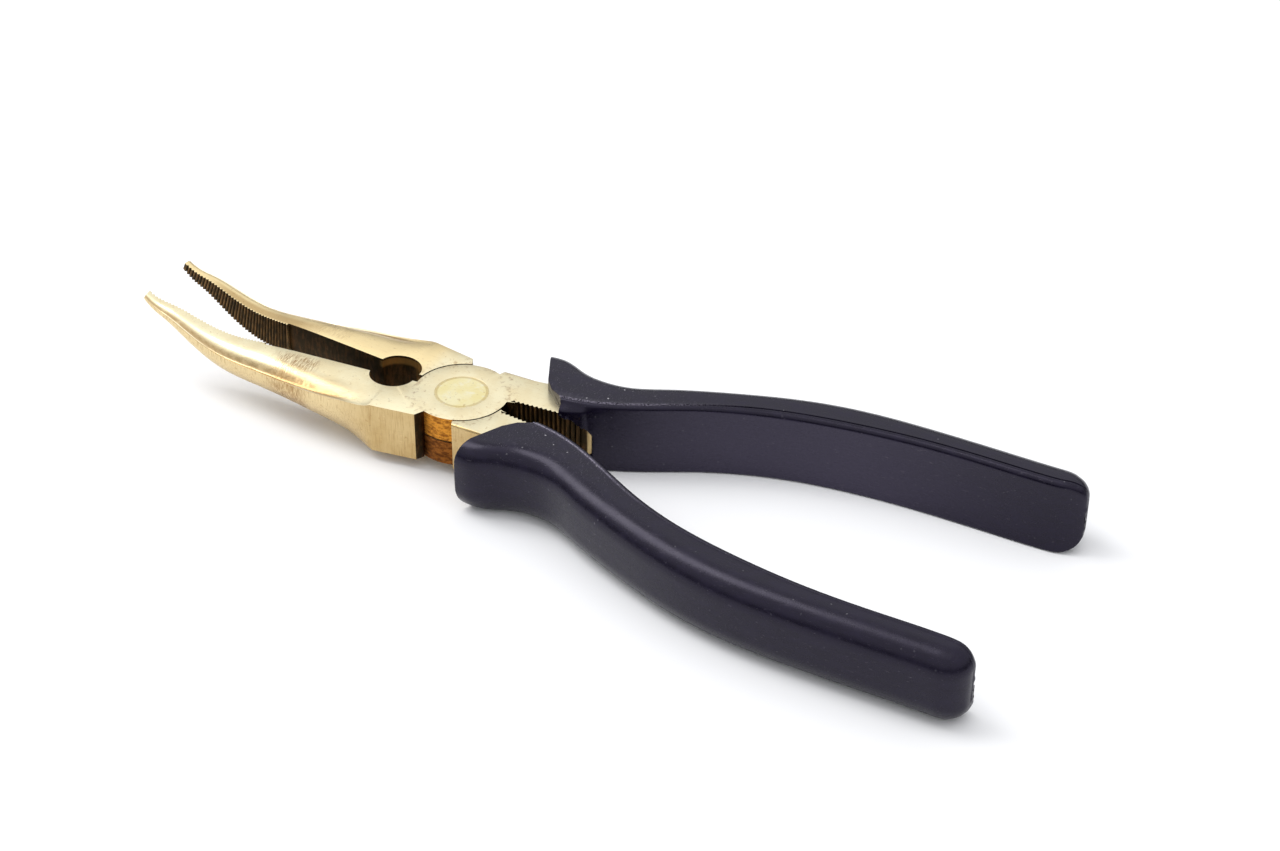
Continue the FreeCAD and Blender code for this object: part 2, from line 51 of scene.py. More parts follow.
class Shader:
    """A small helper to write a node tree as expressions."""

    def __init__(self, name):
        self.material = bpy.data.materials.new(name)
        self.material.use_nodes = True
        self.tree = self.material.node_tree
        self.tree.nodes.clear()
        output = self.tree.nodes.new("ShaderNodeOutputMaterial")
        self.bsdf = self.tree.nodes.new("ShaderNodeBsdfPrincipled")
        self.link(self.bsdf.outputs[0], output.inputs["Surface"])

    def link(self, source, target):
        if isinstance(source, (int, float, tuple)):
            target.default_value = source
        else:
            self.tree.links.new(source, target)

    def node(self, kind, output=0, settings=None, **inputs):
        node = self.tree.nodes.new(kind)
        for key, value in (settings or {}).items():
            setattr(node, key, value)
        for key, value in inputs.items():
            by_number = key[0] == "i" and key[1:].isdigit()
            self.link(value, node.inputs[int(key[1:]) if by_number else key])
        return node.outputs[output]

    def math(self, operation, a, b=0.0):
        return self.node("ShaderNodeMath", settings={"operation": operation}, i0=a, i1=b)

    def add(self, a, b):
        return self.math("ADD", a, b)

    def sub(self, a, b):
        return self.math("SUBTRACT", a, b)

    def mul(self, a, *others):
        for b in others:
            a = self.math("MULTIPLY", a, b)
        return a

    def most(self, a, *others):
        for b in others:
            a = self.math("MAXIMUM", a, b)
        return a

    def size(self, a):
        return self.math("ABSOLUTE", a)

    def step(self, value, low, high, to_low=0.0, to_high=1.0):
        """Smoothly from to_low at low to to_high at high."""
        return self.node("ShaderNodeMapRange", settings={"interpolation_type": "SMOOTHSTEP"},
                         i0=value, i1=low, i2=high, i3=to_low, i4=to_high)

    def band(self, value, rise, fall):
        """1 between the two edges and 0 outside: each edge is (where it is 0, where it is 1)."""
        return self.mul(self.step(value, *rise), self.step(value, *fall))

    def noise(self, where, scale, detail=3.0, rough=0.5, stretch=(1.0, 1.0, 1.0), distort=0.0):
        spot = self.node("ShaderNodeMapping", i0=where, i3=stretch)
        return self.node("ShaderNodeTexNoise", i0=spot, Scale=scale, Detail=detail,
                         Roughness=rough, Distortion=distort)

    def mix(self, factor, a, b):
        node = self.tree.nodes.new("ShaderNodeMix")
        node.data_type = "RGBA"
        self.link(factor, node.inputs[0])
        self.link(a, node.inputs[6])
        self.link(b, node.inputs[7])
        return node.outputs[2]

    def bump(self, height, distance, strength=1.0, under=None):
        below = {} if under is None else {"Normal": under}
        return self.node("ShaderNodeBump", Strength=strength, Distance=distance, Height=height,
                         **below)

    def lever_place(self, side):
        """Millimetres in the lever's own closed frame: x along the jaw, y across, z up."""
        return self.node("ShaderNodeMapping", settings={"vector_type": "TEXTURE"},
                         i0=self.object_place(), i1=(PIVOT_X * MM, 0.0, 0.0),
                         i2=(0.0, 0.0, side * REST_ANGLE), i3=(MM, MM, MM))

    def object_place(self):
        return self.node("ShaderNodeTexCoord", output=3)

    def facing(self):
        """The surface's own normal, as three numbers."""
        return self.split(self.node("ShaderNodeTexCoord", output=1))

    def split(self, vector):
        node = self.tree.nodes.new("ShaderNodeSeparateXYZ")
        self.link(vector, node.inputs[0])
        return node.outputs


def srgb(red, green, blue):
    """A colour given as 0 to 255 display values."""
    return tuple((v / 255) ** 2.2 for v in (red, green, blue)) + (1.0,)


# ------------------------------------------------------------------------------------ brass

# Tones of the metal. Pairs are the two ends of a cloudy mix.
LEVER_TONES = srgb(250, 239, 201), srgb(243, 227, 184)
# painted light: a paler tone for the lower lever's jaw, as though more light fell on it
LOWER_JAW_PAINTED_LIGHT = srgb(255, 229, 170)
# painted shade: the sides take a darker tone than the top, and a lighter one along the nose
SIDE_PAINTED_SHADE_TONES = srgb(204, 179, 130), srgb(190, 162, 112)
NOSE_SIDE_TONE = srgb(232, 211, 163)
RIVET_TONES = srgb(250, 240, 194), srgb(246, 232, 172)
RIVET_MOTTLE = srgb(250, 242, 206)
RIVET_RING = srgb(176, 138, 74)
STREAKS = srgb(150, 112, 62)
BRUSHED_LINES = srgb(176, 140, 86)
TARNISH = srgb(158, 112, 58)
PITS = srgb(92, 62, 34)
GRINDING = srgb(150, 108, 60)
# painted shade over the upper lever's nose slope
COVE_PAINTED_SHADE = srgb(192, 174, 136)
# painted shade beside the lower lever's teeth
NOSE_SHADE = srgb(160, 124, 72)
# painted shade in the hollow behind the nose's ridge
HOLLOW_PAINTED_SHADE = srgb(166, 126, 74)
# painted highlight along the lip of the nose's ridge
RIDGE_PAINTED_HIGHLIGHT = srgb(252, 240, 208)
RIM_STAINS = srgb(142, 96, 48)
SEAM_WALL = srgb(34, 22, 12)
RECESS_UPPER = srgb(214, 146, 58), srgb(140, 86, 36)
RECESS_LOWER = srgb(150, 94, 44), srgb(92, 54, 26)
RECESS_SEAM = srgb(26, 16, 10)
# the working faces' own dark tones, also used as painted shade on the steps
WORKED_AND_SHADED_TONES = srgb(30, 21, 15), srgb(78, 52, 32)
TOOTH_CRESTS = srgb(140, 104, 60)
# painted reflection and painted highlight inside the pipe grip
HOLE_BACK_PAINTED_LIGHT = srgb(236, 182, 104)
HOLE_RIM_PAINTED_HIGHLIGHT = srgb(206, 160, 90)

# The nose's half width at the root of the jaw, and what it loses over each stretch of x.
NOSE_WIDTH = 11.7
NOSE_LOSSES = ((18.0, 28.0, 1.3), (28.0, 36.0, 1.5), (36.0, 53.5, 3.4), (53.5, 72.5, 3.6))


class Spot:
    """Where a point of a lever is, which way it faces, and the noises its finish is made of.

    x runs along the jaw, across is from the closed jaws' plane outward on the jaw's side, and
    over is the height above the head's underside, all in millimetres.
    """

    def __init__(self, s, side):
        self.where = s.lever_place(side)
        self.x, self.y, z = s.split(self.where)
        self.across = s.mul(self.y, float(side))
        self.over = s.sub(z, HEAD_LOW)
        self.radius = s.math("SQRT", s.add(s.mul(self.x, self.x), s.mul(self.y, self.y)))
        self.facing_x, facing_y, self.facing_up = s.facing()
        self.facing_out = s.mul(facing_y, float(side))
        self.tilt = s.size(self.facing_up)
        nose_top = s.mul(s.step(self.x, 33.0, 42.0), s.step(self.facing_up, 0.5, 0.85))
        self.upward = s.most(s.step(self.facing_up, 0.90, 0.998), nose_top)
        self.brushing = s.noise(self.where, 1.0, 4.0, 0.6, stretch=(0.3, 6.0, 6.0))
        self.scratches = s.noise(self.where, 1.0, 3.0, 0.65, stretch=(7.0, 7.0, 0.22))
        self.cloud = s.noise(self.where, 0.16, 4.0, 0.6)
        self.spots = s.noise(self.where, 0.9, 3.0, 0.6)


def metal_tones(s, p, side, rivet):
    """The colour of clean metal on top, and of its sides, which are painted darker as shade, less
    so along the nose.
    """
    if rivet:
        clean = s.mix(s.step(p.cloud, 0.4, 0.62), *RIVET_TONES)
        mottle = s.noise(p.where, 0.55, 4.0, 0.65)
        clean = s.mix(s.step(mottle, 0.5, 0.66), clean, RIVET_MOTTLE)
        return clean, clean
    clean = s.mix(s.step(p.cloud, 0.35, 0.7), *LEVER_TONES)
    # painted light: the lower lever's jaw is painted paler, as though more light fell on it
    if side < 0:
        clean = s.mix(s.mul(s.step(p.x, 9.0, 13.0), 0.8), clean, LOWER_JAW_PAINTED_LIGHT)
    # painted shade on the sides, lighter along the nose
    painted_shade_sides = s.mix(s.step(p.cloud, 0.3, 0.7), *SIDE_PAINTED_SHADE_TONES)
    painted_shade_sides = s.mix(s.mul(s.step(p.x, 13.0, 26.0), 0.8), painted_shade_sides, NOSE_SIDE_TONE)
    return clean, painted_shade_sides


def nose_marks_and_painted_light(s, p, side, colour):
    """Grinding marks, painted shade on the nose's slope and beside the teeth, a painted highlight
    on the lip of the nose's ridge and brown painted shade in the hollow behind it.
    """
    bend = s.noise(p.where, 1.0, 3.0, 0.7, stretch=(5.0, 0.7, 0.7), distort=0.4)
    marks = s.mul(s.band(p.x, (29.0, 33.0), (43.0, 37.0)), s.step(bend, 0.36, 0.64),
                  s.step(p.across, 0.8, 2.6))
    colour = s.mix(s.mul(marks, 0.85 if side > 0 else 0.3), colour, GRINDING)

    width = NOSE_WIDTH
    for start, stop, loss in NOSE_LOSSES:
        lost = s.node("ShaderNodeMapRange", i0=p.x, i1=start, i2=stop, i3=0.0, i4=loss)
        width = s.sub(width, lost)
    share = s.math("DIVIDE", p.across, width)       # 0 at the inner face, 1 at the ridge
    if side > 0:
        # painted shade over the upper lever's nose slope, dimming its highlight
        cove_shade = s.mul(s.band(p.x, (17.0, 25.0), (40.0, 33.0)), s.step(share, 0.45, 0.7),
                    s.step(p.facing_up, 0.5, 0.7))
        colour = s.mix(s.mul(cove_shade, 0.85), colour, COVE_PAINTED_SHADE)
    else:
        # painted shade along the lower lever's nose beside its teeth
        shade = s.mul(s.band(p.x, (34.0, 44.0), (68.0, 60.0)),
                      s.band(share, (0.02, 0.10), (0.5, 0.28)))
        colour = s.mix(s.mul(shade, 0.6), colour, NOSE_SHADE)
    along_nose = s.mul(s.step(p.x, 19.0, 24.0), s.step(p.facing_up, 0.3, 0.5))
    # painted shade: a brown band in the hollow behind the ridge
    hollow = s.mul(s.band(share, (0.70, 0.90), (0.96, 0.945)), along_nose)
    colour = s.mix(s.mul(hollow, 0.6), colour, HOLLOW_PAINTED_SHADE)
    # painted highlight along the lip of the ridge
    lip = s.mul(s.step(share, 0.955, 0.97), along_nose)
    return s.mix(s.mul(lip, 0.8), colour, RIDGE_PAINTED_HIGHLIGHT)


def lap_walls(s, p, colour):
    """The walls of the lap: dark in the seam, orange and brown where the recess lies open."""
    rim = s.mul(s.band(p.radius, (7.6, 9.8), (12.5, 10.0)), s.step(p.spots, 0.5, 0.66))
    colour = s.mix(s.mul(rim, 0.36), colour, RIM_STAINS)
    wall = s.mul(s.band(p.radius, (10.5, 10.25), (7.0, 9.0)), s.step(p.tilt, 0.9, 0.6))
    colour = s.mix(wall, colour, SEAM_WALL)
    open_wall = s.mul(wall, s.mul(s.step(s.size(p.y), 8.2, 8.6), s.step(s.size(p.x), 5.2, 4.6)))
    grime = s.noise(p.where, 0.8, 5.0, 0.75, stretch=(1.0, 1.0, 2.2))
    upper = s.mix(s.step(grime, 0.42, 0.62), *RECESS_UPPER)
    lower = s.mix(s.step(grime, 0.38, 0.62), *RECESS_LOWER)
    recess = s.mix(s.step(p.over, 5.9, 5.3), upper, lower)
    seam = s.band(p.over, (5.25, 5.42), (5.75, 5.58))
    recess = s.mix(s.mul(seam, 0.9), recess, RECESS_SEAM)
    return s.mix(open_wall, colour, recess), open_wall


def working_faces_and_shade(s, p, colour):
    """The brown of the jaws' inner faces, the pipe grip and the serrated tang, and painted shade on
    the deep steps.
    """
    # painted shade on the step faces on either side of the recess
    front_step = s.mul(s.band(p.x, (3.4, 3.7), (5.4, 5.2)), s.step(p.facing_x, -0.3, -0.6),
                       s.step(p.across, 8.2, 8.6))
    back_step = s.mul(s.band(p.x, (-3.6, -4.0), (-5.3, -5.1)), s.step(p.facing_x, 0.3, 0.6))
    shadowed = s.most(front_step, s.mul(back_step, 0.5))

    inward = s.step(p.facing_out, -0.22, -0.45)
    jaw = s.mul(s.step(p.x, 19.6, 20.4), inward, s.step(p.across, 2.2, 1.6))
    wallwise = s.step(p.tilt, 0.6, 0.3)
    land = s.mul(s.band(p.x, (9.5, 9.9), (21.5, 20.5)),
                 s.mul(wallwise, s.step(p.across, 5.4, 5.0)))
    outward = s.step(p.facing_out, 0.22, 0.45)
    tang = s.mul(s.step(p.x, -9.2, -9.6), outward, s.step(p.across, -6.0, -5.0),
                 s.step(p.x, -26.6, -26.2))
    worked_or_shaded = s.most(s.most(jaw, land), s.most(tang, shadowed))

    worn = s.noise(p.where, 1.2, 4.0, 0.65, stretch=(1.0, 1.0, 0.35))
    jaw_crests = s.mul(s.step(p.x, 44.5, 45.0), s.step(p.across, 0.16, 0.02))
    tang_crests = s.mul(s.step(p.x, -9.0, -9.5), s.step(p.across, -1.42, -1.24))
    crests = s.mul(s.most(jaw_crests, tang_crests), s.step(worn, 0.35, 0.6))
    dark = s.mix(s.step(worn, 0.42, 0.7), *WORKED_AND_SHADED_TONES)
    dark = s.mix(s.mul(crests, 0.5), dark, TOOTH_CRESTS)
    # painted light: the back and the rim of the pipe grip are painted lighter where they would
    # catch the light
    hole_back_light = s.mul(land, s.step(p.facing_x, 0.1, 0.7), s.step(worn, 0.3, 0.62))
    dark = s.mix(s.mul(hole_back_light, 0.9), dark, HOLE_BACK_PAINTED_LIGHT)
    hole_rim_highlight = s.mul(land, s.step(p.over, 8.6, 9.4), s.step(p.over, 10.7, 10.3))
    dark = s.mix(s.mul(hole_rim_highlight, 0.6), dark, HOLE_RIM_PAINTED_HIGHLIGHT)
    return s.mix(s.mul(worked_or_shaded, 0.94), colour, dark), worked_or_shaded


def brass(name, side, rivet=False):
    """Satin golden copper alloy: brushed, pitted, brown in its recesses and where it works, with
    painted shade on its sides, steps and nose and painted light on the lower jaw, the nose's ridge
    and the pipe grip.
    """
    s = Shader(name)
    p = Spot(s, side)
    clean, painted_shade_sides = metal_tones(s, p, side, rivet)
    painted_shade_sides = s.mix(s.mul(s.step(p.scratches, 0.5, 0.66), 0.45), painted_shade_sides, STREAKS)
    # painted shade: faces that do not look up take the darker side tone
    colour = s.mix(p.upward, painted_shade_sides, clean)
    lines = s.mul(s.step(p.brushing, 0.58, 0.7), p.upward)
    colour = s.mix(s.mul(lines, 0.22), colour, BRUSHED_LINES)
    tarnish = s.step(p.spots, 0.62, 0.74)
    colour = s.mix(s.mul(tarnish, 0.4), colour, TARNISH)
    pits = s.step(s.noise(p.where, 2.2, 2.0, 0.5), 0.70, 0.74)
    colour = s.mix(s.mul(pits, 0.3), colour, PITS)
    rough = s.add(s.step(p.brushing, 0.3, 0.7, 0.27, 0.42), s.mul(tarnish, 0.1))

    if rivet:
        ring = s.band(p.radius, (4.75, 5.0), (5.5, 5.3))
        colour = s.mix(s.mul(ring, 0.4), colour, RIVET_RING)
    else:
        colour = nose_marks_and_painted_light(s, p, side, colour)
        colour, open_wall = lap_walls(s, p, colour)
        colour, worked_or_shaded = working_faces_and_shade(s, p, colour)
        rough = s.add(rough, s.mul(s.most(worked_or_shaded, open_wall), 0.14))

    s.link(colour, s.bsdf.inputs["Base Color"])
    s.link(rough, s.bsdf.inputs["Roughness"])
    s.bsdf.inputs["Metallic"].default_value = 1.0
    fine = s.bump(p.brushing, 0.00002, 0.35)
    fine = s.bump(p.scratches, 0.00002, 0.35, under=fine)
    fine = s.bump(pits, -0.00008, 0.5, under=fine)
    s.link(fine, s.bsdf.inputs["Normal"])
    return s.material


# ------------------------------------------------------------------------------------ pvc

PVC_TONES = srgb(15, 11, 26), srgb(23, 19, 36)
PVC_INNER_PAINTED_REFLECTION = srgb(58, 54, 69)
PVC_SCRATCHES = srgb(104, 98, 106)
PVC_SCUFFS = srgb(122, 118, 128)
PVC_DUST = srgb(168, 166, 170)
# rubbed pale ridge, partly a painted highlight
PVC_WORN_AND_HIGHLIGHT = srgb(160, 154, 170)


def pvc(name, side):
    """Semi-gloss black moulded PVC with handling marks, fine scratches and dust, a painted
    reflection on the inner face and a pale ridge that is partly a painted highlight.
    """
    s = Shader(name)
    where = s.lever_place(1)
    x = s.split(where)[0]
    facing_y, facing_up = s.facing()[1:]
    upward = s.step(facing_up, 0.9, 0.99)
    front = s.step(x, -62.0, -30.0)
    grain = s.noise(where, 3.2, 3.0, 0.6)
    ripple = s.noise(where, 0.20, 3.0, 0.5)
    rub = s.noise(where, 0.5, 5.0, 0.65, stretch=(0.6, 1.0, 1.6))
    scratch = s.noise(where, 1.0, 2.0, 0.5, stretch=(0.5, 9.0, 3.0), distort=0.6)
    scuff = s.noise(where, 1.0, 3.0, 0.6, stretch=(6.0, 1.1, 1.0), distort=0.8)

    # painted reflection: the inner face is painted lighter and greyer about the middle
    inner_reflection = s.mul(s.step(s.mul(facing_y, float(side)), 0.45, 0.85), s.step(facing_up, 0.35, 0.1))
    inner_reflection = s.mul(inner_reflection, s.band(x, (-16.0, -55.0), (-122.0, -72.0)))
    # dust gathers in crowds, most of all on top and near the front
    crowd = s.noise(where, 0.16, 2.0, 0.5)
    speck = s.node("ShaderNodeTexVoronoi", i0=where, Scale=0.5)
    speck = s.add(speck, s.mul(s.sub(grain, 0.5), 0.28))
    motes = s.mul(s.step(speck, 0.11, 0.06), s.step(crowd, 0.46, 0.60))
    motes = s.mul(motes, s.mul(s.add(0.3, s.mul(front, 0.7)), s.add(0.3, s.mul(upward, 0.7))))
    # the mould's ridge is rubbed pale near the front, and the pale line is partly a painted
    # highlight
    worn = s.node("ShaderNodeAttribute", output=2, settings={"attribute_name": "wear_and_highlight"})
    worn = s.mul(worn, s.step(grain, 0.36, 0.62))
    scuffs = s.mul(s.step(scuff, 0.60, 0.72), upward, front)

    base = s.mix(s.step(rub, 0.35, 0.75), *PVC_TONES)
    base = s.mix(s.mul(inner_reflection, 0.85), base, PVC_INNER_PAINTED_REFLECTION)
    base = s.mix(s.mul(s.step(scratch, 0.66, 0.76), 0.3), base, PVC_SCRATCHES)
    base = s.mix(s.mul(scuffs, 0.45), base, PVC_SCUFFS)
    base = s.mix(s.mul(motes, 0.75), base, PVC_DUST)
    base = s.mix(s.mul(worn, 0.8), base, PVC_WORN_AND_HIGHLIGHT)
    s.link(base, s.bsdf.inputs["Base Color"])
    s.bsdf.inputs["IOR"].default_value = 1.5
    s.bsdf.inputs["Specular IOR Level"].default_value = 0.36
    s.bsdf.inputs["Specular Tint"].default_value = (0.85, 0.79, 1.0, 1.0)
    rough = s.step(rub, 0.3, 0.75, 0.24, 0.33)
    rough = s.add(rough, s.mul(s.step(scratch, 0.66, 0.78), 0.15))
    rough = s.add(rough, s.mul(scuffs, 0.2))
    s.link(rough, s.bsdf.inputs["Roughness"])
    skin = s.bump(ripple, 0.0002, 0.25)
    skin = s.bump(grain, 0.00003, 0.4, under=skin)
    skin = s.bump(s.step(scratch, 0.66, 0.8), -0.00002, 0.5, under=skin)
    s.link(skin, s.bsdf.inputs["Normal"])
    return s.material


# ------------------------------------------------------------------------------------ pieces

def place_piece(name, mesh, material, sharp_angle, node, body):
    """Shows the mesh instead of a CAD node, smooth but for its sharp edges."""
    piece = bpy.data.objects.new(name, mesh)
    bpy.context.scene.collection.objects.link(piece)
    for polygon in mesh.polygons:
        polygon.use_smooth = True
    mesh.set_sharp_from_angle(angle=math.radians(sharp_angle))
    mesh.materials.append(material)
    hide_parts(node)
    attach(piece, body)


def metal_piece(name, node, body, material, bevel):
    """The CAD piece with its flat faces made whole and its sharp edges broken."""
    mesh = bpy.data.meshes.new(name)
    work = bmesh.new()
    work.from_mesh(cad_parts[node].data)
    bmesh.ops.remove_doubles(work, verts=work.verts, dist=0.002 * MM)
    bmesh.ops.dissolve_limit(work, angle_limit=math.radians(0.4), verts=work.verts,
                             edges=work.edges)
    sharp = [edge for edge in work.edges if len(edge.link_faces) == 2 and edge.is_manifold
             and edge.calc_face_angle(0.0) > math.radians(28) and edge.is_convex]
    bmesh.ops.bevel(work, geom=sharp, offset=bevel * MM, offset_type="OFFSET", segments=2,
                    profile=0.6, affect="EDGES", clamp_overlap=True)
    finish_mesh(work, mesh)
    place_piece(name, mesh, material, 24, node, body)


def finish_mesh(work, mesh):
    bmesh.ops.triangulate(work, faces=[face for face in work.faces if len(face.verts) > 4])
    work.to_mesh(mesh)
    work.free()


# ------------------------------------------------------------------------------------ grips

# All in millimetres. Inner edge (x, y) and outer edge (x, y), from front to back, in the upper
# lever's frame.
GRIP_SECTIONS = np.array((
    (-17.7, -2.4, -11.3, -18.4),
    (-19.6, -2.4, -14.6, -18.4),
    (-23.2, -2.6, -20.0, -16.0),
    (-28.0, -3.4, -25.6, -14.6),
    (-34.0, -5.3, -31.2, -14.9),
    (-40.5, -8.0, -37.6, -17.2),
    (-47.0, -10.8, -44.4, -19.6),
    (-55.0, -13.5, -52.8, -22.1),
    (-64.0, -15.5, -62.5, -24.5),
    (-76.0, -16.9, -75.4, -26.1),
    (-90.0, -17.4, -90.0, -25.8),
    (-105.0, -16.6, -105.6, -24.5),
    (-117.0, -15.65, -117.8, -23.4),
    (-124.62, -15.45, -124.62, -23.0),
))
GRIP_TOP = 16.0
# The rounding of each long edge, and the most of the width that it may take up.
OUTER_ROUND, OUTER_SHARE = 4.6, 0.7
INNER_ROUND, INNER_ROUND_REAR, INNER_SHARE = 0.8, 1.15, 0.3
LOW_OUTER_ROUND = 5.6
LOW_INNER_ROUND, LOW_INNER_SHARE = 0.5, 0.2
# How the front and the end are rounded: over what length, and how deep.
FRONT_LIP = 0.16, 0.16
FRONT_OUTER_PULL = 0.35, 0.35
END_INNER_PULL = 6.5, 2.1
END_OUTER_PULL = 6.2, 4.6
END_TOP_PULL = 4.0, 3.6
END_LOW_PULL = 5.0, 4.4
# The parting line: how far in it runs, and how high its ridge and deep its groove are, near the
# front and further back.
PARTING, PARTING_REAR, PARTING_SHARE = 1.0, 1.4, 0.35
RIDGE, RIDGE_REAR = 0.14, 0.04
GROOVE, GROOVE_REAR = 0.05, 0.14
MOULD_STEP = 0.07           # how much lower the mould's inner half ends
FACE_HOLLOW = 0.16          # of the inner face, towards its middle
SIDE_SWELL = 0.04           # of the outer side, towards its middle
LEAN = 1.1                  # how far the inner face's foot stands out towards the end
FRONT_SET_BACK = 3.0        # of the inner edge at the front
FLASH = 0.10                # how far the flash stands out of the rounded end
# Nubs of flash on the parting line of the end: y, z, their size and how far they stand out.
END_NUBS = ((-17.4, 9.9, 0.5, 0.18), (-17.5, 7.3, 0.35, 0.12), (-17.4, 5.6, 0.4, 0.15))
# Crumbs of flash over the teeth's window: x, z, their size and how far they stand out.
WINDOW_NUBS = ((-20.9, 13.2, 0.36, 0.5), (-21.7, 13.0, 0.3, 0.34), (-22.5, 12.9, 0.34, 0.42),
               (-20.3, 13.1, 0.25, 0.3))
# The tang's serrated face and where it runs out.
TANG_FACE = np.array(((-10.0, -1.2), (-22.0, -1.2), (-25.5, -2.2), (-28.5, -4.2), (-31.0, -7.2)))


def natural_spline(keys, values, at):
    """Natural cubic interpolation of each column of values."""
    count = len(keys)
    gap = np.diff(keys)
    matrix = np.eye(count)
    right = np.zeros((count, values.shape[1]))
    for i in range(1, count - 1):
        matrix[i, i - 1:i + 2] = gap[i - 1], 2 * (gap[i - 1] + gap[i]), gap[i]
        slope_after = (values[i + 1] - values[i]) / gap[i]
        slope_before = (values[i] - values[i - 1]) / gap[i - 1]
        right[i] = 6 * (slope_after - slope_before)
    second = np.linalg.solve(matrix, right)
    spot = np.clip(np.searchsorted(keys, at, side="right") - 1, 0, count - 2)
    width = gap[spot][:, None]
    left = (at - keys[spot])[:, None]
    remain = width - left
    return (second[spot] * remain ** 3 / (6 * width) + second[spot + 1] * left ** 3 / (6 * width)
            + (values[spot] / width - second[spot] * width / 6) * remain
            + (values[spot + 1] / width - second[spot + 1] * width / 6) * left)


def smooth(value, low, high):
    t = np.clip((value - low) / (high - low), 0.0, 1.0)
    return t * t * (3 - 2 * t)


def rounding(distance, reach, depth):
    """How far a surface draws in at this distance from an edge that is rounded over reach."""
    if distance >= reach:
        return 0.0
    return depth * (1 - math.sqrt(max(1 - ((reach - distance) / reach) ** 2, 0.0)))


def stations():
    """The sections' distances from the front, and finer stations, close at front and end."""
    middle = (GRIP_SECTIONS[:, :2] + GRIP_SECTIONS[:, 2:4]) / 2
    steps = np.linalg.norm(np.diff(middle, axis=0), axis=1)
    keys = np.concatenate(([0.0], np.cumsum(steps)))
    end = keys[-1]
    at = np.concatenate((
        (0.0, 0.02, 0.06, 0.12, 0.2, 0.3, 0.45, 0.65, 0.9, 1.2, 1.5, 1.8, 2.1, 2.4),
        np.arange(2.6, 16.0, 0.2),
        np.arange(16.0, end - 8.0, 0.6),
        np.arange(end - 8.0, end - 1.0, 0.16),
        end - np.array((1.0, 0.86, 0.72, 0.6, 0.48, 0.38, 0.28, 0.2, 0.13, 0.07, 0.03, 0.01, 0.0)),
    ))
    return keys, at


def arc(centre, radius, start, stop, count):
    """Points round a corner, its angles in degrees."""
    return [(centre[0] + radius * math.cos(angle), centre[1] + radius * math.sin(angle))
            for angle in np.radians(np.linspace(start, stop, count))]


def half_ring(width, half, outer_round, inner_round, parting, ridge, groove):
    """Inner face's middle to the outer side's middle over one flat: (distance in, height).

    The parting line is a ridge of flash beside a groove, and the mould's inner half ends lower.
    """
    rise = np.linspace(0.0, half - inner_round - MOULD_STEP, 24)
    hollow = FACE_HOLLOW * (1 - (rise / max(rise[-1], 0.01)) ** 2)
    points = list(zip(hollow, rise))
    top = half - MOULD_STEP
    points += arc((inner_round, top - inner_round), inner_round, 172, 92, 9)
    line = min(parting, width * PARTING_SHARE)
    behind = line + 0.42        # where the flash has run out
    points += [
        (line - 0.16, top), (line - 0.08, top - groove * 0.35), (line - 0.03, top - groove),
        (line + 0.03, top - groove), (line + 0.07, half - 0.03), (line + 0.12, half + ridge),
        (line + 0.20, half + ridge), (line + 0.30, half + ridge * 0.35), (behind, half),
    ]
    corner = width - outer_round
    points += [(behind + share * (corner - behind), half) for share in (0.15, 0.4, 0.7)]
    points += arc((corner, half - outer_round), outer_round, 90, 0, 15)
    points += [(width + SIDE_SWELL * share, (half - outer_round) * (1 - share))
               for share in (0.35, 0.7, 1.0)]
    return points


def fairing(x, z, inner_y):
    """How far the grip's inner face stands out over the tang, round a window for the teeth."""
    face = np.interp(-x, -TANG_FACE[:, 0], TANG_FACE[:, 1]) + 0.2
    trail = 0.55 * smooth(-x, 31.0, 25.8)
    stand = np.maximum(np.maximum(face - inner_y, 0.0) * smooth(-x, 30.0, 28.0), trail)
    stand = stand * smooth(-x, 17.7, 19.6)
    # the window's upper and lower edges, a little ragged, and its rear edge
    over = z - HEAD_LOW
    upper = 11.2 - 0.55 * np.maximum(-x - 20.0, 0.0) - 0.09 * np.maximum(-x - 23.5, 0.0) ** 2
    lower = 0.6 + 0.12 * np.maximum(-x - 20.0, 0.0)
    edge = 0.16 * np.sin(x * 2.1) + 0.07 * np.sin(x * 5.3 + 1.0)
    covered = np.maximum(smooth(over, upper - 0.25 + edge, upper + 0.2 + edge),
                         smooth(-over, -lower - 0.2 + edge, -lower + 0.25 + edge))
    covered = np.maximum(covered, smooth(-x + edge, 27.0, 27.4))
    crest = smooth(-z, -15.6, -14.0) * smooth(z, 0.2, 2.1)
    out = stand * covered * crest
    for cx, cz, size, high in WINDOW_NUBS:
        out = out + high * np.exp(-((x - cx) ** 2 + (z - cz) ** 2) / size ** 2)
    return out


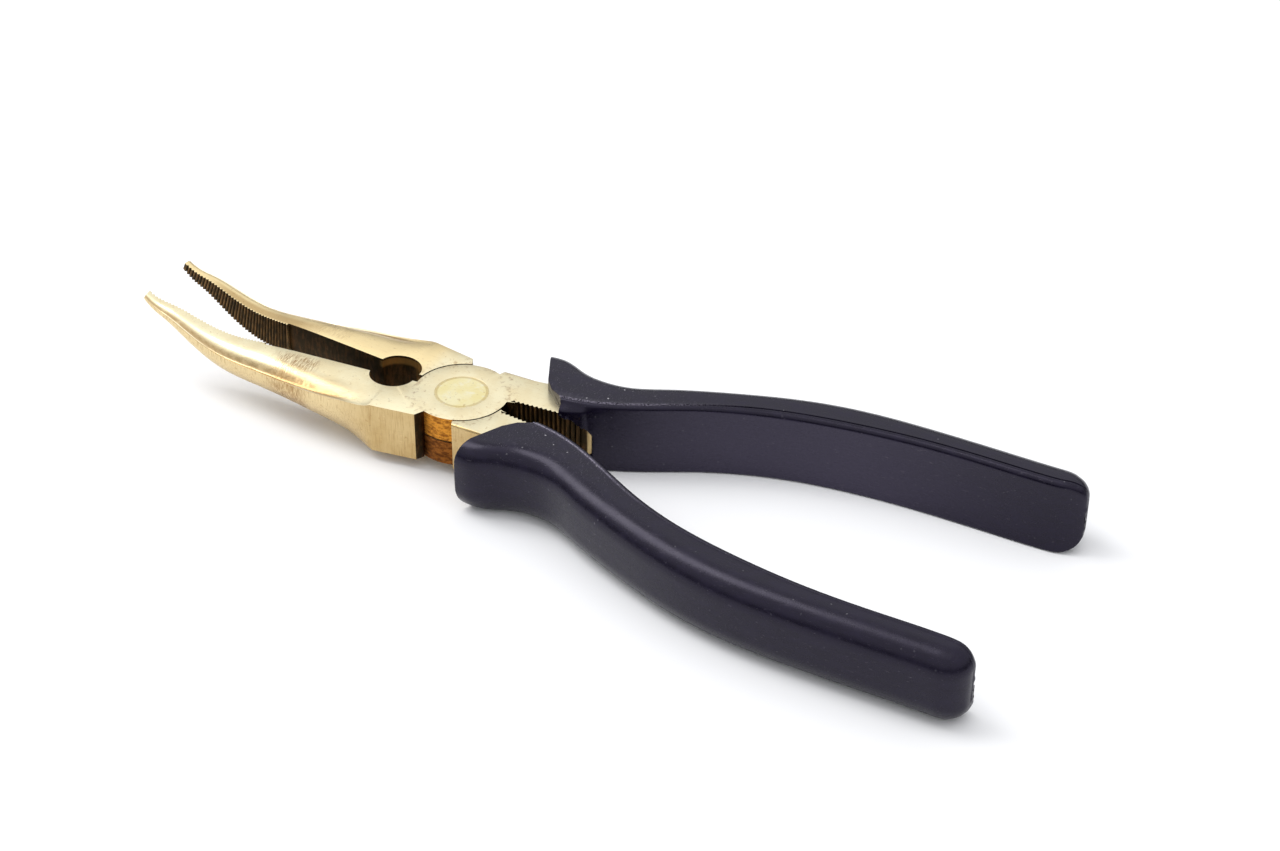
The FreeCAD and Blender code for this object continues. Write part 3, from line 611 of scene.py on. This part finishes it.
def grip_ring(distance, tail, section):
    """One ring round the grip, in the upper lever's frame, how worn each point is (the wear is
    partly a painted highlight), and its line.

    distance is from the front and tail from the end.
    """
    start, stop = section[:2], section[2:]
    width = np.linalg.norm(stop - start)
    along = (stop - start) / width
    # the front's edges are broken, and the end is rounded, most of all on its outer side
    lip = rounding(distance, *FRONT_LIP)
    inner_pull = rounding(tail, *END_INNER_PULL)
    width = (width - rounding(distance, *FRONT_OUTER_PULL) - rounding(tail, *END_OUTER_PULL)
             - inner_pull)
    start = start + along * inner_pull
    top = GRIP_TOP - lip - rounding(tail, *END_TOP_PULL)
    low = lip + rounding(tail, *END_LOW_PULL)
    half = (top - low) / 2

    rear = smooth(distance, 26.0, 48.0)
    parting = PARTING + (PARTING_REAR - PARTING) * rear
    ridge = RIDGE + (RIDGE_REAR - RIDGE) * rear
    groove = GROOVE + (GROOVE_REAR - GROOVE) * rear
    inner_round = INNER_ROUND + (INNER_ROUND_REAR - INNER_ROUND) * rear
    upper = half_ring(width, half, min(OUTER_ROUND, OUTER_SHARE * width),
                      min(inner_round, INNER_SHARE * width), parting, ridge, groove)
    below = half_ring(width, half, min(LOW_OUTER_ROUND, OUTER_SHARE * width, half - 0.3),
                      min(LOW_INNER_ROUND, LOW_INNER_SHARE * width), parting, ridge, groove)
    ring = np.array(upper + [(a, -z) for a, z in reversed(below[1:-1])])
    a = ring[:, 0]
    z = ring[:, 1] + (top + low) / 2

    foot = np.clip(1 - z / 12.0, 0.0, 1.0) ** 2 * smooth(distance, 50.0, 90.0)
    a = a - LEAN * foot * smooth(-a, -3.0, 0.0)
    if distance < 1.0:
        a = np.maximum(a, lip)
    x, y = (start + np.outer(a, along)).T
    y = y + smooth(-a, -1.2, -0.6) * fairing(x, z, y)
    x = x - FRONT_SET_BACK * smooth(-a, -4.4, -0.6) * smooth(-distance, -5.0, 0.0)

    line = min(parting, PARTING_SHARE * width)
    # wear along the parting line, partly a painted highlight
    worn = np.exp(-((a - line - 0.1) / 0.22) ** 2) * (z > GRIP_TOP / 2)
    flash = FLASH * np.exp(-((a - line - 0.16) / 0.12) ** 2)
    return np.stack((x, y, z), axis=1), worn * smooth(-distance, -44.0, -16.0), flash


def grip_rings():
    """The grip as rings from front to end, in the upper lever's frame, and their wear, which is
    partly a painted highlight.
    """
    keys, at = stations()
    rings, wear_and_highlight = [], []
    for distance, section in zip(at, natural_spline(keys, GRIP_SECTIONS, at)):
        ring, worn, flash = grip_ring(distance, at[-1] - distance, section)
        rings.append(ring)
        wear_and_highlight.append(worn)
    # the flat of the end, with the flash running down it
    middle_z = (ring[:, 2].max() + ring[:, 2].min()) / 2
    for share in (0.94, 0.8, 0.6, 0.4, 0.2, 0.03):
        inset = ring.copy()
        inset[:, 2] = middle_z + (ring[:, 2] - middle_z) * share
        inset[:, 0] -= flash
        rings.append(inset)
        wear_and_highlight.append(np.zeros(len(ring)))
    return rings, wear_and_highlight


def grip_piece(name, node, body, side, material):
    """One PVC sleeve. side = -1 mirrors it for the lower lever."""
    rings, wear_and_highlight = grip_rings()
    count = len(rings[0])
    coords = np.concatenate(rings)
    for cy, cz, size, high in END_NUBS:
        near = np.exp(-((coords[:, 1] - cy) ** 2 + (coords[:, 2] - cz) ** 2) / size ** 2)
        coords[:, 0] -= high * near * (coords[:, 0] < -121.0)

    turn = side * REST_ANGLE
    x, y, z = coords[:, 0], coords[:, 1] * side, np.maximum(coords[:, 2], 0.0)
    placed = np.stack((x * math.cos(turn) - y * math.sin(turn) + PIVOT_X,
                       x * math.sin(turn) + y * math.cos(turn), z), axis=1) * MM

    faces = []
    for first in range(0, (len(rings) - 1) * count, count):
        for column in range(count):
            nxt = (column + 1) % count
            faces.append((first + column, first + nxt, first + count + nxt,
                          first + count + column))
    faces.append(tuple(range(count))[::-1])
    faces.append(tuple(range((len(rings) - 1) * count, len(rings) * count)))
    if side < 0:
        faces = [face[::-1] for face in faces]
    mesh = bpy.data.meshes.new(name)
    mesh.from_pydata(placed.tolist(), [], faces)
    worn = mesh.attributes.new("wear_and_highlight", "FLOAT", "POINT")
    worn.data.foreach_set("value", np.concatenate(wear_and_highlight))
    work = bmesh.new()
    work.from_mesh(mesh)
    bmesh.ops.recalc_face_normals(work, faces=work.faces)
    finish_mesh(work, mesh)
    place_piece(name, mesh, material, 50, node, body)


metal_piece("upper_lever_metal", "upper_lever", "upper_half",
            brass("brass_upper", 1), 0.14)
metal_piece("lower_lever_metal", "lower_lever", "lower_half",
            brass("brass_lower", -1), 0.14)
metal_piece("pivot_rivet_metal", "pivot_rivet", "upper_half",
            brass("brass_rivet", 1, rivet=True), 0.12)
grip_piece("upper_grip_sleeve", "upper_lever_grip", "upper_half", 1, pvc("black_pvc_upper", 1))
grip_piece("lower_grip_sleeve", "lower_lever_grip", "lower_half", -1, pvc("black_pvc_lower", -1))


# ------------------------------------------------------------------------------------ stage

FLOOR_HALF = 3.0                    # metres
FLOOR_TONES = (0.945, 0.945, 0.955, 1.0), (0.96, 0.96, 0.965, 1.0)
SKY_COLOUR = (0.97, 0.98, 1.0, 1.0)
# The sky's strength rises from the first to the second between these sines of elevation.
SKY_BAND, SKY_STRENGTH = (0.10, 0.55), (0.20, 1.02)
# Area lights that face the object: name, place and size in metres, power in watts.
LIGHTS = (
    ("overhead", (-0.05, 0.25, 1.2), (0.9, 0.7), 0.8),
    ("strip", (0.70, 0.08, 0.95), (0.50, 0.95), 6.2),
)
# The camera: degrees, millimetres of lens and sensor, and millimetres from the origin.
CAMERA_TURN = 27.968, 35.408, 0.495     # heading off -Y, downward tilt, roll
CAMERA_LENS, CAMERA_SENSOR = 75.38, 36.0
CAMERA_PLACE = -213.78, 373.54, 319.81


def make_floor():
    mesh = bpy.data.meshes.new("floor")
    corners = [(x * FLOOR_HALF, y * FLOOR_HALF, 0) for x, y in ((-1, -1), (1, -1), (1, 1), (-1, 1))]
    mesh.from_pydata(corners, [], [(0, 1, 2, 3)])
    floor = bpy.data.objects.new("floor", mesh)
    bpy.context.scene.collection.objects.link(floor)
    s = Shader("pale_floor")
    tone = s.noise(s.object_place(), 3.0, 2.0, 0.5)
    s.link(s.mix(s.step(tone, 0.3, 0.7), *FLOOR_TONES), s.bsdf.inputs["Base Color"])
    s.bsdf.inputs["Roughness"].default_value = 0.55
    s.bsdf.inputs["Specular IOR Level"].default_value = 0.25
    mesh.materials.append(s.material)


def make_light(name, place, size, power):
    data = bpy.data.lights.new(name, "AREA")
    data.shape = "RECTANGLE"
    data.size, data.size_y = size
    data.energy = power
    light = bpy.data.objects.new(name, data)
    bpy.context.scene.collection.objects.link(light)
    light.location = place
    light.rotation_euler = (-Vector(place)).to_track_quat("-Z", "Y").to_euler()


def make_world():
    """A pale sky that is dimmer near the horizon."""
    world = bpy.data.worlds.new("studio")
    world.use_nodes = True
    nodes, links = world.node_tree.nodes, world.node_tree.links
    height = nodes.new("ShaderNodeSeparateXYZ")
    links.new(nodes.new("ShaderNodeTexCoord").outputs["Generated"], height.inputs[0])
    fade = nodes.new("ShaderNodeMapRange")
    fade.interpolation_type = "SMOOTHSTEP"
    for socket, value in zip(fade.inputs[1:5], SKY_BAND + SKY_STRENGTH):
        socket.default_value = value
    links.new(height.outputs[2], fade.inputs[0])
    links.new(fade.outputs[0], nodes["Background"].inputs[1])
    nodes["Background"].inputs[0].default_value = SKY_COLOUR
    bpy.context.scene.world = world


def make_camera():
    yaw, pitch, roll = (math.radians(v) for v in CAMERA_TURN)
    forward = Vector((math.sin(yaw) * math.cos(pitch), -math.cos(yaw) * math.cos(pitch),
                      -math.sin(pitch)))
    right = forward.cross(Vector((0, 0, 1))).normalized()
    up = right.cross(forward)
    right, up = (math.cos(roll) * right + math.sin(roll) * up,
                 -math.sin(roll) * right + math.cos(roll) * up)
    data = bpy.data.cameras.new("camera")
    data.lens = CAMERA_LENS
    data.sensor_width = CAMERA_SENSOR
    data.sensor_fit = "HORIZONTAL"
    data.clip_start, data.clip_end = 0.01, 50.0
    camera = bpy.data.objects.new("camera", data)
    bpy.context.scene.collection.objects.link(camera)
    turn = Matrix((right, up, -forward)).transposed().to_4x4()
    camera.matrix_world = Matrix.Translation(Vector(CAMERA_PLACE) * MM) @ turn
    bpy.context.scene.camera = camera


make_floor()
make_world()
for light in LIGHTS:
    make_light(*light)
make_camera()
bpy.context.scene.view_settings.view_transform = "Standard"
